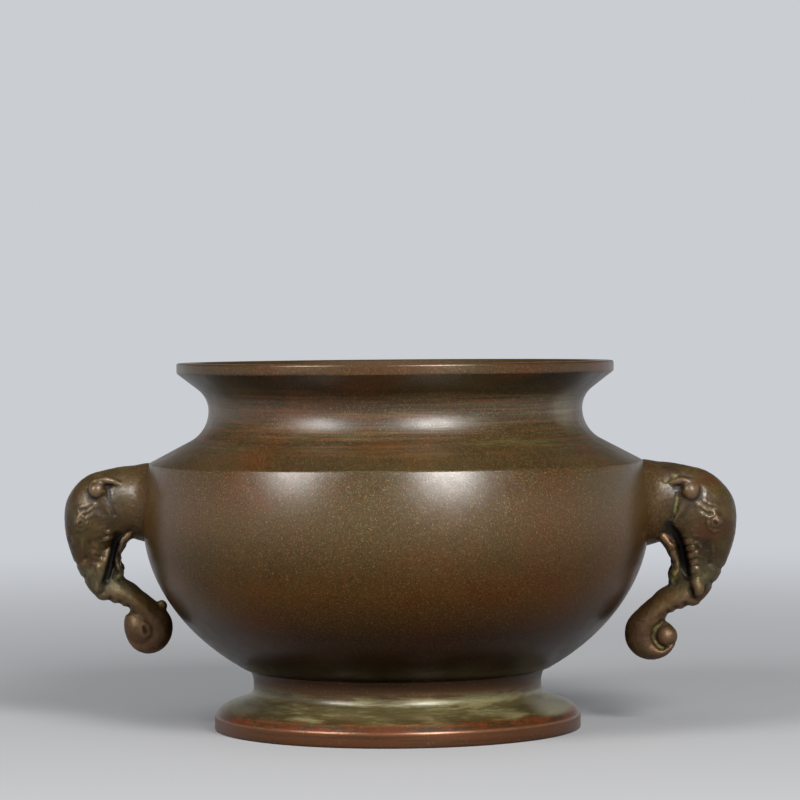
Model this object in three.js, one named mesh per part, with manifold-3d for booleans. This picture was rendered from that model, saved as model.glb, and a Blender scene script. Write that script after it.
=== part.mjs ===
// A bronze incense burner: a turned bowl with a wide lip, standing on a flared foot ring, and two
// elephant-head handles riveted to its belly. Millimetres, +Z up, Z = 0 on the table, handles along X.
import * as THREE from "three";
import { mergeVertices } from "three/addons/utils/BufferGeometryUtils.js";
import Module from "manifold-3d";

const wasm = await Module();
wasm.setup();

// Foot ring, from the table up to the seat that carries the bowl.
const FOOT_RADIUS = 50.5;
const FOOT_BAND_HEIGHT = 3.6;
const FOOT_DOME_SETBACK = 0.4;
const FOOT_DOME_RISE = 1.85;
const FOOT_SLOPE = THREE.MathUtils.degToRad(26.5);
const FOOT_STEM_RADIUS = 39.7;
const FOOT_TOP_FLARE = 2.1;
const FOOT_TOP_SETBACK = 0.2;
const FOOT_HEIGHT = 16.3;
const FOOT_STAND_WIDTH = 4.0;
const FOOT_WALL = 3.6;
const FOOT_FILLET = 2.2;

// Bowl. Each rise starts where the one before it ends, and the first starts at the seat.
const BOWL_WALL = 3.2;
const FLOOR_THICKNESS = 3.4;
const FLOOR_FILLET = 6.0;
const SPIGOT_RADIUS = 35.0;
const SPIGOT_WALL = 3.0;
const SPIGOT_DEPTH = 3.0;
const BELLY_RADIUS = 69.8;
const BELLY_LOWER_CURVE = 51.8;
const BELLY_UPPER_CURVE = 68.0;
const BELLY_EDGE = 0.6;
const BELLY_RISE = 41.7;
const SHOULDER_RISE = 15.4;
const THROAT_RISE = 14.4;
const LIP_RISE = 13.1;
const THROAT_RADIUS = 51.5;
const SHOULDER_BEND = 9.5;
const LIP_BEND = 7.3;
const LIP_RADIUS = 60.2;
const LIP_THICKNESS = 3.1;
const LIP_TOP_WIDTH = 3.6;
const LIP_CHAMFER = 0.35;

// Handles and the two rivets that hold each one, placed from the axis of the handle's neck. The
// reach is how far the forehead stands off the belly.
const HANDLE_HEIGHT = 61.2;
const HANDLE_REACH = 24.0;
const RIVET_SPACING = 12.0;
const RIVET_RADIUS = 2.0;
const RIVET_GRIP = 7.0;
const RIVET_HEAD_RADIUS = 3.6;
const RIVET_HEAD_HEIGHT = 1.8;
const RIVET_SKIRT = 1.0;

// Room left where one piece goes into another, and the film of solder where one is cut to another.
const FIT_CLEARANCE = 0.25;
const SOLDER_FILM = 0.3;

// How finely round shapes are divided.
const TURNED_FACETS = 56;
const OUTSIDE_STEPS = { belly: 10, bend: 3 };
const INSIDE_STEPS = { belly: 6, bend: 3 };
const RIB_POINTS = 12;
const RIB_STEPS = 2;
const CURL_STEPS = 9;
const CORD_STEPS = 4;
const CORD_FACETS = 6;
const ROUND_CORD_FACETS = 8;
const SLOT_STEPS = 8;
const ROLL_STEPS = 6;
const LEAF_STEPS = 5;
const BALL_FACETS = 9;
const BALL_ROWS = 6;
const PIN_FACETS = 12;
const FILLET_STEPS = 2;
const MERGE_DISTANCE = 1e-4;

const bronze = new THREE.MeshStandardMaterial({ color: 0x5a4126, roughness: 0.34, metalness: 0.9 });
const footBronze = new THREE.MeshStandardMaterial({ color: 0x5b4a2c, roughness: 0.36, metalness: 0.9 });
const castBronze = new THREE.MeshStandardMaterial({ color: 0x4c3a24, roughness: 0.4, metalness: 0.9 });
const rivetBronze = new THREE.MeshStandardMaterial({ color: 0x6b4c2a, roughness: 0.45, metalness: 0.9 });

const SEAT_Z = FOOT_HEIGHT;
const BELLY_Z = SEAT_Z + BELLY_RISE;
const SHOULDER_Z = BELLY_Z + SHOULDER_RISE;
const THROAT_Z = SHOULDER_Z + THROAT_RISE;
const LIP_Z = THROAT_Z + LIP_RISE;
const SEAT_RADIUS = bellyRadiusAt(SEAT_Z) - BELLY_EDGE;
const WALL_X = bellyRadiusAt(HANDLE_HEIGHT);
const RIVET_TIP_X = WALL_X + RIVET_GRIP;

// Profiles: points are (radius, height).

function at(radius, height) {
  return new THREE.Vector2(radius, height);
}

// A closed profile from its corners [radius, height, fillet], each fillet at most half its edges.
function filleted(corners) {
  const places = corners.map(([radius, height]) => at(radius, height));
  return corners.flatMap(([, , fillet = 0], i) => {
    const corner = places[i];
    if (!fillet) return [corner];
    const toward = (neighbour) => {
      const edge = neighbour.clone().sub(corner);
      return corner.clone().add(edge.setLength(Math.min(fillet, edge.length() / 2)));
    };
    const ends = [toward(places.at(i - 1)), toward(places[(i + 1) % places.length])];
    return new THREE.QuadraticBezierCurve(ends[0], corner, ends[1]).getPoints(FILLET_STEPS);
  });
}

// The belly is widest at its middle, with one elliptical curve below and a fuller one above. An
// offset moves the curves out from the outer face of the wall, or in if it is less than zero.
function bellyAngleAt(height, offset) {
  const curve = (height < BELLY_Z ? BELLY_LOWER_CURVE : BELLY_UPPER_CURVE) + offset;
  return Math.asin((height - BELLY_Z) / curve);
}

function bellyRadiusAt(height, offset = 0) {
  return (BELLY_RADIUS + offset) * Math.cos(bellyAngleAt(height, offset));
}

function bellySide(offset, fromZ, toZ, steps) {
  const start = bellyAngleAt(fromZ, offset);
  const sweep = bellyAngleAt(toZ, offset) - start;
  return Array.from({ length: steps + 1 }, (_, i) => {
    const angle = start + (sweep * i) / steps;
    const curve = (angle < 0 ? BELLY_LOWER_CURVE : BELLY_UPPER_CURVE) + offset;
    return at((BELLY_RADIUS + offset) * Math.cos(angle), BELLY_Z + curve * Math.sin(angle));
  });
}

// The angle at which a line from a point touches a circle, on the circle's side that faces the axis.
function touchAngle(point, centre, radius, side) {
  const line = point.clone().sub(centre);
  return Math.atan2(line.y, line.x) + side * Math.acos(Math.min(1, radius / line.length()));
}

// The hollow curve of the neck, from a point on the shoulder up to one on the lip. It narrows to
// the given radius, through one bend above the shoulder and one below the lip.
function neckCurve(low, high, narrowest, lowBend, highBend, steps) {
  const bend = (point, radius, side) => {
    const centre = at(narrowest + radius, THROAT_Z);
    const touch = touchAngle(point, centre, radius, side);
    return Array.from({ length: steps + 1 }, (_, i) => {
      const angle = touch + ((side * Math.PI - touch) * i) / steps;
      return at(centre.x + radius * Math.cos(angle), centre.y + radius * Math.sin(angle));
    });
  };
  return [low, ...bend(low, lowBend, -1), ...bend(high, highBend, 1).slice(0, -1).reverse(), high];
}

// One side of the wall from a height on the belly up to the lip, at an offset from the outer face.
function wallSide(offset, fromZ, lip, steps) {
  const belly = bellySide(offset, fromZ, SHOULDER_Z + offset, steps.belly);
  const bends = [SHOULDER_BEND - offset, LIP_BEND - offset];
  return [...belly, ...neckCurve(belly.at(-1), lip, THROAT_RADIUS + offset, ...bends, steps.bend).slice(1)];
}

// How far out the wall's face is at a height, on the belly or on the neck above it.
function wallRadiusAt(height, offset) {
  if (height <= SHOULDER_Z + offset) return bellyRadiusAt(height, offset);
  const side = wallSide(offset, BELLY_Z, underLip(), OUTSIDE_STEPS);
  const next = side.findIndex((point) => point.y >= height);
  const [low, high] = [side[next - 1], side[next]];
  return THREE.MathUtils.mapLinear(height, low.y, high.y, low.x, high.x);
}

function underLip() {
  return at(LIP_RADIUS - LIP_CHAMFER, LIP_Z - LIP_THICKNESS);
}

function bowlProfile() {
  const floorZ = SEAT_Z + FLOOR_THICKNESS;
  const spigotBore = SPIGOT_RADIUS - SPIGOT_WALL;
  const under = [
    at(0, SEAT_Z),
    at(spigotBore, SEAT_Z),
    at(spigotBore, SEAT_Z - SPIGOT_DEPTH),
    at(SPIGOT_RADIUS, SEAT_Z - SPIGOT_DEPTH),
    at(SPIGOT_RADIUS, SEAT_Z),
    at(SEAT_RADIUS, SEAT_Z),
  ];
  const lip = [
    at(LIP_RADIUS, LIP_Z - LIP_THICKNESS + LIP_CHAMFER),
    at(LIP_RADIUS, LIP_Z - LIP_CHAMFER),
    at(LIP_RADIUS - LIP_CHAMFER, LIP_Z),
  ];
  const outside = wallSide(0, SEAT_Z + BELLY_EDGE, underLip(), OUTSIDE_STEPS);
  const insideLip = at(LIP_RADIUS - LIP_TOP_WIDTH, LIP_Z);
  const inside = wallSide(-BOWL_WALL, floorZ + FLOOR_FILLET / 2, insideLip, INSIDE_STEPS).reverse();
  const floorEdge = inside.at(-1).x - FLOOR_FILLET;
  return [...under, ...outside, ...lip, ...inside, at(floorEdge, floorZ), at(0, floorZ)];
}

function footProfile() {
  const slope = Math.tan(FOOT_SLOPE);
  const domeEdge = at(FOOT_RADIUS - FOOT_DOME_SETBACK, FOOT_BAND_HEIGHT + FOOT_DOME_RISE);
  const stemZ = domeEdge.y + (domeEdge.x - FOOT_STEM_RADIUS) * slope;
  const boreRadius = SPIGOT_RADIUS + FIT_CLEARANCE;
  const standRadius = FOOT_RADIUS - FOOT_STAND_WIDTH;
  const slopeWallHeight = FOOT_WALL / Math.cos(FOOT_SLOPE);
  const underSlopeAt = (radius) => stemZ + (FOOT_STEM_RADIUS - radius) * slope - slopeWallHeight;
  const outline = filleted([
    [standRadius, 0],
    [FOOT_RADIUS, 0],
    [FOOT_RADIUS, FOOT_BAND_HEIGHT],
    [domeEdge.x, domeEdge.y, FOOT_FILLET],
    [FOOT_STEM_RADIUS, stemZ, FOOT_FILLET],
    [FOOT_STEM_RADIUS, FOOT_HEIGHT - FOOT_TOP_FLARE, FOOT_TOP_FLARE],
    [SEAT_RADIUS - FOOT_TOP_SETBACK, FOOT_HEIGHT],
    [boreRadius, FOOT_HEIGHT],
    [boreRadius, underSlopeAt(boreRadius), FOOT_FILLET],
    [standRadius, underSlopeAt(standRadius), FOOT_FILLET],
  ]);
  return [...outline, outline[0].clone()];
}

function turned(profile) {
  return new THREE.LatheGeometry(profile, TURNED_FACETS).rotateX(Math.PI / 2);
}

// Solids for cutting and joining, and back to a geometry.

function solidOf(geometry) {
  const bare = new THREE.BufferGeometry().setAttribute("position", geometry.getAttribute("position"));
  bare.setIndex(geometry.getIndex());
  const merged = mergeVertices(bare, MERGE_DISTANCE);
  const corners = merged.getIndex().array;
  const triVerts = [];
  for (let i = 0; i < corners.length; i += 3) {
    const [a, b, c] = corners.slice(i, i + 3);
    if (a !== b && b !== c && c !== a) triVerts.push(a, b, c);
  }
  return new wasm.Manifold(
    new wasm.Mesh({
      numProp: 3,
      vertProperties: merged.getAttribute("position").array,
      triVerts: new Uint32Array(triVerts),
    }),
  );
}

function geometryOf(solid) {
  const { vertProperties, triVerts } = solid.getMesh();
  const geometry = new THREE.BufferGeometry();
  geometry.setAttribute("position", new THREE.BufferAttribute(vertProperties, 3));
  geometry.setIndex(new THREE.BufferAttribute(triVerts, 1));
  return geometry;
}

function joined(geometries) {
  return geometries.map(solidOf).reduce((whole, solid) => whole.add(solid));
}

// All that the outer face of the bowl closes off, from its floor up, moved out by an offset.
function bowlSpace(offset) {
  const side = wallSide(offset, SEAT_Z + FLOOR_THICKNESS + FLOOR_FILLET, underLip(), OUTSIDE_STEPS);
  return solidOf(turned([at(0, side[0].y), ...side, at(0, side.at(-1).y)]));
}

// Rivets: each lies along X, its head inside the bowl and its shank in the neck of the handle.

function rivetHeights() {
  return [HANDLE_HEIGHT + RIVET_SPACING / 2, HANDLE_HEIGHT - RIVET_SPACING / 2];
}

// A round bar along X at a rivet's height.
function barAlongX(radius, fromX, toX, height) {
  const bar = new THREE.CylinderGeometry(radius, radius, toX - fromX, PIN_FACETS).rotateZ(Math.PI / 2);
  return bar.translate((fromX + toX) / 2, 0, height);
}

// The nearest and the furthest place of the wall's inner face across a bar at a height.
function innerFaceAcross(radius, height) {
  const reaches = [-radius, 0, radius].map((rise) => wallRadiusAt(height + rise, -BOWL_WALL));
  return [Math.min(...reaches), Math.max(...reaches)];
}

function rivetGeometry(height) {
  const skirtX = wallRadiusAt(height, -BOWL_WALL) - RIVET_SKIRT;
  const [, furthestX] = innerFaceAcross(RIVET_HEAD_RADIUS, height);
  const dome = new THREE.SphereGeometry(1, PIN_FACETS, PIN_FACETS / 2);
  dome.scale(RIVET_HEAD_HEIGHT, RIVET_HEAD_RADIUS, RIVET_HEAD_RADIUS).translate(skirtX, 0, height);
  const skirt = barAlongX(RIVET_HEAD_RADIUS, skirtX, furthestX + RIVET_SKIRT, height);
  const head = joined([dome, skirt]).intersect(bowlSpace(-BOWL_WALL - SOLDER_FILM));
  const shank = barAlongX(RIVET_RADIUS, skirtX, RIVET_TIP_X, height);
  return geometryOf(head.add(solidOf(shank)));
}

// Holes for the rivets, from well inside the wall out to the given place.
function rivetHoles(tipX) {
  const holes = rivetHeights().map((height) => {
    const [nearestX] = innerFaceAcross(RIVET_RADIUS + FIT_CLEARANCE, height);
    return barAlongX(RIVET_RADIUS + FIT_CLEARANCE, nearestX - BOWL_WALL, tipX, height);
  });
  return joined(holes);
}

function bowlGeometry() {
  const onePair = rivetHoles(WALL_X + BOWL_WALL);
  const otherPair = onePair.rotate([0, 0, 180]);
  return geometryOf(solidOf(turned(bowlProfile())).subtract(onePair).subtract(otherPair));
}

// Elephant-head handle. The head is drawn once for both castings, in units of its own, as
// (out, up, side) from where its neck meets the belly, and HANDLE_REACH sets how large it is. Its
// two cheeks, ears and eyes are alike, and each detail is drawn for the side that faces +Y.
const HEAD = {
  // Ribs through the neck, skull and trunk: the edge that faces the bowl, the edge that faces away,
  // and half the width across, which is fuller towards the far edge by the egg's share.
  ribs: [
    { near: [-3.7, -13.0], far: [-3.7, 13.9], half: 13.4 },
    { near: [0.6, -11.4], far: [0.8, 12.0], half: 11.0 },
    { near: [3.2, -10.7], far: [8.5, 10.9], half: 9.8 },
    { near: [5.4, -12.8], far: [17.0, 8.4], half: 10.0 },
    { near: [6.5, -15.6], far: [23.2, 1.6], half: 9.2 },
    { near: [6.4, -18.0], far: [24.0, -7.2], half: 7.8 },
    { near: [6.0, -19.8], far: [21.4, -16.0], half: 6.2 },
    { near: [5.2, -22.0], far: [17.6, -22.9], half: 5.2 },
    { near: [3.2, -23.7], far: [14.2, -27.6], half: 4.7 },
    { near: [1.2, -25.4], far: [9.9, -28.9], half: 4.3 },
    { near: [-1.6, -27.7], far: [5.4, -30.6], half: 4.0 },
  ],
  egg: 0.16,
  // Wrinkles round the trunk, by how many ribs along it they lie.
  wrinkles: { ribs: [6.38, 6.95, 8.9, 9.45], spread: 0.16, depth: 0.6 },
  // The curl at the trunk's end: its two edges are arcs, and the tip closes in a knob.
  curl: {
    outside: { centre: [0.5, -35.9], radius: [7.4, 7.4], degrees: [138, 324] },
    inside: { centre: [5.0, -37.3], radius: [4.9, 2.2], degrees: [105, 262] },
    half: [3.8, 2.7],
    knob: 2.9,
  },
  // The edge of the mouth runs down in folds to the root of the tusk.
  mouthEdge: {
    line: [[9.5, -8.4, 8.2], [12.5, -10.2, 8.0], [13.4, -14.1, 7.2], [13.1, -18.5, 5.9], [13.8, -21.4, 5.2]],
    radius: 1.15,
    folds: 5,
    foldDepth: 0.25,
  },
  tusk: { line: [[13.6, -20.4, 5.0], [13.4, -22.6, 5.4], [12.8, -24.6, 5.5]], radius: 1.35, taper: 0.5 },
  // The slot of the open mouth lies between its edge and the jaw.
  slot: {
    line: [[5.4, -6.0, 9.4], [7.6, -10.1, 8.6], [9.0, -14.6, 7.4], [10.3, -19.2, 6.0]],
    radius: 1.5,
    deeper: 2.2,
  },
  brows: [
    { line: [[12.8, 0.8, 9.6], [15.6, -1.0, 9.6], [18.3, -2.5, 8.8]], radius: 0.6 },
    { line: [[12.6, -1.9, 9.7], [14.0, -2.3, 9.8], [15.4, -3.0, 9.6]], radius: 0.5 },
  ],
  // An ear is a leaf that lies back on the skull, its upper edge rolled over and ending in a knob.
  // Corners of the leaf alternate with the points that pull its edge out.
  ear: {
    leaf: [[4.1, 6.3], [7.6, 9.4], [11.6, 5.6], [11.6, -0.6], [5.6, -4.3], [8.0, 1.4]],
    outerSide: 10.4,
    thickness: 2.0,
    roll: [[4.3, 6.2, 9.6], [7.6, 7.4, 10.2], [10.6, 6.5, 10.2], [11.4, 4.6, 10.0]],
    rollRadius: [0.6, 1.3],
    knob: { centre: [10.3, 3.9, 9.7], radius: 2.0 },
  },
  eye: { centre: [17.2, -4.9, 8.3], radius: 1.4 },
};

// How each casting came out, in the units of the drawing: how much higher its trunk hangs, how much
// flatter its forehead is, how far its curl swings in, and how far its ears are moved (out, up).
// The lift dies out from the curl's root to the crown, and the swing from the curl to its root.
const CASTS = {
  right: { lift: 0, flattening: 0, sway: 0, earShift: [0, 0] },
  left: { lift: 2.8, flattening: 2.3, sway: 0.9, earShift: [1.7, 1.3] },
  crownUp: 10.8,
  curlRootUp: -22.0,
};
const HEAD_REACH = Math.max(...HEAD.ribs.map((rib) => rib.far[0]));

function place([out, up, side = 0]) {
  return new THREE.Vector3(out, side, up);
}

// One egg-shaped ring between two edge points, wider towards the far edge.
function ribRing(near, far, half, points = RIB_POINTS, egg = HEAD.egg) {
  const centre = near.clone().add(far).multiplyScalar(0.5);
  const reach = far.clone().sub(near).multiplyScalar(0.5);
  return Array.from({ length: points }, (_, i) => {
    const angle = (2 * Math.PI * i) / points;
    const side = -half * Math.sin(angle) * (1 + egg * Math.cos(angle));
    return centre.clone().addScaledVector(reach, Math.cos(angle)).add(new THREE.Vector3(0, side, 0));
  });
}

// A closed skin through rings of equal count.
function loft(rings) {
  const count = rings[0].length;
  const middle = (ring) => ring.reduce((sum, p) => sum.add(p), new THREE.Vector3()).divideScalar(count);
  const points = [...rings.flat(), middle(rings[0]), middle(rings.at(-1))];
  const index = [];
  const last = (rings.length - 1) * count;
  for (let j = 0; j < count; j++) {
    const next = (j + 1) % count;
    for (let start = 0; start < last; start += count) {
      index.push(start + j, start + next, start + count + j);
      index.push(start + next, start + count + next, start + count + j);
    }
    index.push(next, j, last + count);
    index.push(last + j, last + next, last + count + 1);
  }
  return new THREE.BufferGeometry().setFromPoints(points).setIndex(index);
}

function headRings() {
  const { ribs, wrinkles } = HEAD;
  const near = new THREE.CatmullRomCurve3(ribs.map((rib) => place(rib.near)));
  const far = new THREE.CatmullRomCurve3(ribs.map((rib) => place(rib.far)));
  const half = new THREE.SplineCurve(ribs.map((rib, i) => at(i, rib.half)));
  const lastRib = ribs.length - 1;
  const stops = Array.from({ length: lastRib * RIB_STEPS + 1 }, (_, i) => i / RIB_STEPS);
  const creased = wrinkles.ribs.flatMap((stop) => [stop - wrinkles.spread, stop, stop + wrinkles.spread]);
  const plain = stops.filter((stop) => creased.every((other) => Math.abs(other - stop) > wrinkles.spread));
  return [...plain, ...creased]
    .sort((a, b) => a - b)
    .map((stop) => {
      const share = stop / lastRib;
      const edge = far.getPoint(share);
      const inward = near.getPoint(share).sub(edge).normalize();
      if (wrinkles.ribs.includes(stop)) edge.addScaledVector(inward, wrinkles.depth);
      return ribRing(near.getPoint(share), edge, half.getPoint(share).y);
    });
}

function curlRings() {
  const { outside, inside, half } = HEAD.curl;
  const alongArc = ({ centre, radius, degrees }, share) => {
    const angle = THREE.MathUtils.degToRad(THREE.MathUtils.lerp(...degrees, share));
    const reach = THREE.MathUtils.lerp(...radius, share);
    return place([centre[0] + reach * Math.cos(angle), centre[1] + reach * Math.sin(angle)]);
  };
  return Array.from({ length: CURL_STEPS + 1 }, (_, i) => {
    const share = i / CURL_STEPS;
    return ribRing(alongArc(outside, share), alongArc(inside, share), THREE.MathUtils.lerp(...half, share));
  });
}

function ball({ centre, radius }) {
  return new THREE.SphereGeometry(radius, BALL_FACETS, BALL_ROWS).translate(...place(centre));
}

// A rounded cord along places. Its radius follows a function of the share along it, and it is
// deeper across than it is wide by the given factor.
function cord(places, radiusAt, { steps = CORD_STEPS, facets = CORD_FACETS, deeper = 1 } = {}) {
  const line = new THREE.CatmullRomCurve3(places.map(place));
  const rings = Array.from({ length: steps + 1 }, (_, i) => {
    const share = i / steps;
    const radius = radiusAt(share);
    const tangent = line.getTangent(share).setY(0);
    const outward = new THREE.Vector3(0, 1, 0).cross(tangent).setLength(radius);
    const [near, far] = [1, -1].map((way) => line.getPoint(share).addScaledVector(outward, way));
    return ribRing(near, far, radius * deeper, facets, 0);
  });
  return loft(rings);
}

// A radius that is fullest halfway along and blunt at both ends.
function fullest(radius) {
  const blunt = 0.2;
  return (share) => radius * Math.sqrt(blunt + (1 - blunt) * Math.sin(Math.PI * share));
}

function mouthEdge() {
  const { line, radius, folds, foldDepth } = HEAD.mouthEdge;
  const folded = (share) => radius + foldDepth * Math.cos(2 * Math.PI * folds * share);
  return cord(line, folded, { steps: 3 * folds });
}

function tusk() {
  const { line, radius, taper } = HEAD.tusk;
  return cord(line, (share) => radius - taper * share * share, { facets: ROUND_CORD_FACETS });
}

function mouthSlot() {
  const { line, radius, deeper } = HEAD.slot;
  return cord(line, fullest(radius), { steps: SLOT_STEPS, facets: ROUND_CORD_FACETS, deeper });
}

function brows() {
  return HEAD.brows.map(({ line, radius }) => cord(line, fullest(radius)));
}

function ear([out, up]) {
  const { leaf, outerSide, thickness, roll, rollRadius, knob } = HEAD.ear;
  const outline = new THREE.Shape().moveTo(...leaf[0]);
  for (let i = 1; i < leaf.length; i += 2) {
    outline.quadraticCurveTo(...leaf[i], ...leaf[(i + 1) % leaf.length]);
  }
  const form = { depth: thickness, bevelEnabled: false, curveSegments: LEAF_STEPS };
  const plate = new THREE.ExtrudeGeometry(outline, form).rotateX(Math.PI / 2).translate(0, outerSide, 0);
  const rolled = cord(roll, (share) => THREE.MathUtils.lerp(...rollRadius, share), {
    steps: ROLL_STEPS,
    facets: ROUND_CORD_FACETS,
  });
  return [plate, rolled, ball(knob)].map((piece) => piece.translate(out, 0, up));
}

function mirrored(solid) {
  return solid.mirror([0, 1, 0]);
}

// The whole casting, shaped as one of the two came out, at its size and place but not yet fitted.
function casting({ lift, flattening, sway, earShift }) {
  const details = joined([mouthEdge(), tusk(), ...brows(), ...ear(earShift), ball(HEAD.eye)]);
  const slot = solidOf(mouthSlot());
  const knob = ball({ centre: HEAD.curl.inside.centre, radius: HEAD.curl.knob });
  const head = joined([loft([...headRings(), ...curlRings()]), knob]);
  const whole = head.add(details).add(mirrored(details)).subtract(slot).subtract(mirrored(slot));
  const geometry = geometryOf(whole);
  const point = new THREE.Vector3();
  const vertices = geometry.getAttribute("position");
  for (let i = 0; i < vertices.count; i++) {
    point.fromBufferAttribute(vertices, i);
    const flatter = flattening * Math.max(0, point.x / HEAD_REACH) ** 3;
    const curlUp = HEAD.curl.outside.centre[1];
    const swung = sway * (1 - THREE.MathUtils.smoothstep(point.z, curlUp, CASTS.curlRootUp));
    const lifted = lift * (1 - THREE.MathUtils.smoothstep(point.z, CASTS.curlRootUp, CASTS.crownUp));
    vertices.setXYZ(i, point.x - flatter - swung, point.y, point.z + lifted);
  }
  const scale = HANDLE_REACH / HEAD_REACH;
  return solidOf(geometry.scale(scale, scale, scale).translate(WALL_X, 0, HANDLE_HEIGHT));
}

function handleGeometry(cast) {
  const fitted = casting(cast).subtract(bowlSpace(SOLDER_FILM));
  return geometryOf(fitted.subtract(rivetHoles(RIVET_TIP_X + SOLDER_FILM)));
}

// Assembly.

const burner = new THREE.Group();

function add(name, geometry, material, turn = 0) {
  const mesh = new THREE.Mesh(geometry, material);
  mesh.name = name;
  mesh.rotation.z = turn;
  burner.add(mesh);
}

add("bowl", bowlGeometry(), bronze);
add("foot_ring", turned(footProfile()), footBronze);
for (const [side, turn] of [["right", 0], ["left", Math.PI]]) {
  add(`${side}_elephant_handle`, handleGeometry(CASTS[side]), castBronze, turn);
  rivetHeights().forEach((height, i) => {
    add(`${side}_${["upper", "lower"][i]}_rivet`, rivetGeometry(height), rivetBronze, turn);
  });
}

export default burner;
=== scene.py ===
# %% [markdown]
# A bronze incense burner with two elephant-head handles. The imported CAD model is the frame: it says
# where each piece is and how large. The bowl, the foot and the handles are modelled again here with
# finer surfaces, in metres and in the same place, and every piece gets its patina.

# %% Load the frame
import math
import bpy
import bmesh
import numpy as np
from mathutils import Matrix, Vector, noise


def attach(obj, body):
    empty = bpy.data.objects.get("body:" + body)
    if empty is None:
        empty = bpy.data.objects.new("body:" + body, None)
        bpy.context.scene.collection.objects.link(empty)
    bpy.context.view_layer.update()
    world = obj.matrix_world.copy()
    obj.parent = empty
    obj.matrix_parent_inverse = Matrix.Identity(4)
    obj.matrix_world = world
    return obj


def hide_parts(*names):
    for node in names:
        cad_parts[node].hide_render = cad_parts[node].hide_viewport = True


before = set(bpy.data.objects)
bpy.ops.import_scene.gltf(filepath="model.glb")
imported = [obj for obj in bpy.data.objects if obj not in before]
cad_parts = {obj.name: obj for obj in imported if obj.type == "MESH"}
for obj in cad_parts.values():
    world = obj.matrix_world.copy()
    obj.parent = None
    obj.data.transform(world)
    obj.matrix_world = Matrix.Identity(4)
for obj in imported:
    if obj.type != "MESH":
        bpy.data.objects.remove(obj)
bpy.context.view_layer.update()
MM = 0.001

# %% [markdown]
# The camera comes first, because every comparison depends on it. The photograph was taken from about
# 0.95 m with a long lens, just above the rim and looking almost level. It is turned by a hair.

# %% Camera
PHOTO_PIXELS = 800
FOCAL_PIXELS = 3444
CAMERA_PLACE = (0.0013, -0.950, 0.111)
CAMERA_DIP, CAMERA_ROLL = 1.25, -0.45
camera_data = bpy.data.cameras.new("photo_camera")
camera_data.sensor_width = 36
camera_data.lens = FOCAL_PIXELS / PHOTO_PIXELS * camera_data.sensor_width
camera = bpy.data.objects.new("photo_camera", camera_data)
bpy.context.scene.collection.objects.link(camera)
dip = Matrix.Rotation(math.radians(90 - CAMERA_DIP), 4, "X")
roll = Matrix.Rotation(math.radians(CAMERA_ROLL), 4, "Z")
camera.matrix_world = Matrix.Translation(CAMERA_PLACE) @ (dip @ roll)
bpy.context.scene.camera = camera
print("lens", round(camera_data.lens, 1), "mm")

# %% [markdown]
# Node trees are built with a few small helpers. The first adds a node, sets what it is told and links
# what is plugged into it, so a material reads from top to bottom like a recipe.

# %% Helpers for node trees
def add_node(tree, kind, inputs=None, **settings):
    made = tree.nodes.new(kind)
    for key, value in settings.items():
        setattr(made, key, value)
    for socket, value in (inputs or {}).items():
        if isinstance(value, bpy.types.NodeSocket):
            tree.links.new(value, made.inputs[socket])
        else:
            made.inputs[socket].default_value = value
    return made


def tone(red, green, blue):
    """A colour as the eye reads it, 0 to 255, turned into the linear values that shaders use."""
    shares = [c / 255 for c in (red, green, blue)]
    linear = [c / 12.92 if c <= 0.04045 else ((c + 0.055) / 1.055) ** 2.4 for c in shares]
    return (*linear, 1.0)


def larger(tree, a, b):
    return add_node(tree, "ShaderNodeMath", {0: a, 1: b}, operation="MAXIMUM").outputs[0]


def times(tree, a, b):
    return add_node(tree, "ShaderNodeMath", {0: a, 1: b}, operation="MULTIPLY").outputs[0]


def between(tree, value, low, high, to_low=0.0, to_high=1.0):
    """A soft step, from to_low where the value is at low, to to_high where it is at high."""
    inputs = {0: value, 1: low, 2: high, 3: to_low, 4: to_high}
    return add_node(tree, "ShaderNodeMapRange", inputs, interpolation_type="SMOOTHSTEP").outputs[0]


def blend(tree, amount, under, over):
    inputs = {"Factor": amount, "A": under, "B": over}
    return add_node(tree, "ShaderNodeMix", inputs, data_type="RGBA").outputs["Result"]

# %% [markdown]
# The stage is a plain pale floor that runs far back to a pale wall all round, under a dim ceiling, and
# the bronze shows them too. Two soft boxes stand left and right of the camera: they make the two soft
# highlights on the belly, the neck and the foot. A wide panel overhead fills the rest.

# %% Floor
BACKDROP = tone(202, 205, 210)
FLOOR_SIZE = 8
FADE_FROM, FADE_TO = 0.06, 0.80


def seen_rays(tree):
    """What the camera sees straight, and what it sees in metal or through glass."""
    path = add_node(tree, "ShaderNodeLightPath").outputs
    return path["Is Camera Ray"], larger(tree, path["Is Glossy Ray"], path["Is Transmission Ray"])


bpy.ops.object.select_all(action="DESELECT")
bpy.ops.mesh.primitive_plane_add(size=FLOOR_SIZE, location=(0, 0, 0))
floor = bpy.context.object
floor.name = "studio_floor"
floor_paint = bpy.data.materials.new("pale_floor")
floor_paint.use_nodes = True
tree = floor_paint.node_tree
is_seen = larger(tree, *seen_rays(tree))
lit = tree.nodes["Principled BSDF"]
tree.links.new(blend(tree, is_seen, tone(96, 90, 84), tone(164, 164, 165)), lit.inputs["Base Color"])
lit.inputs["Roughness"].default_value = 0.9
place_on_floor = add_node(tree, "ShaderNodeTexCoord").outputs["Object"]
from_bowl = add_node(tree, "ShaderNodeVectorMath", {0: place_on_floor}, operation="LENGTH").outputs["Value"]
fade = times(tree, between(tree, from_bowl, FADE_FROM, FADE_TO, 0.12, 1.0), is_seen)
glow = add_node(tree, "ShaderNodeEmission", {"Color": BACKDROP, "Strength": 1.0})
mixed = add_node(tree, "ShaderNodeMixShader", {0: fade, 1: lit.outputs[0], 2: glow.outputs[0]})
tree.links.new(mixed.outputs[0], tree.nodes["Material Output"].inputs["Surface"])
floor.data.materials.append(floor_paint)
print("floor", FLOOR_SIZE, "m across")

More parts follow.
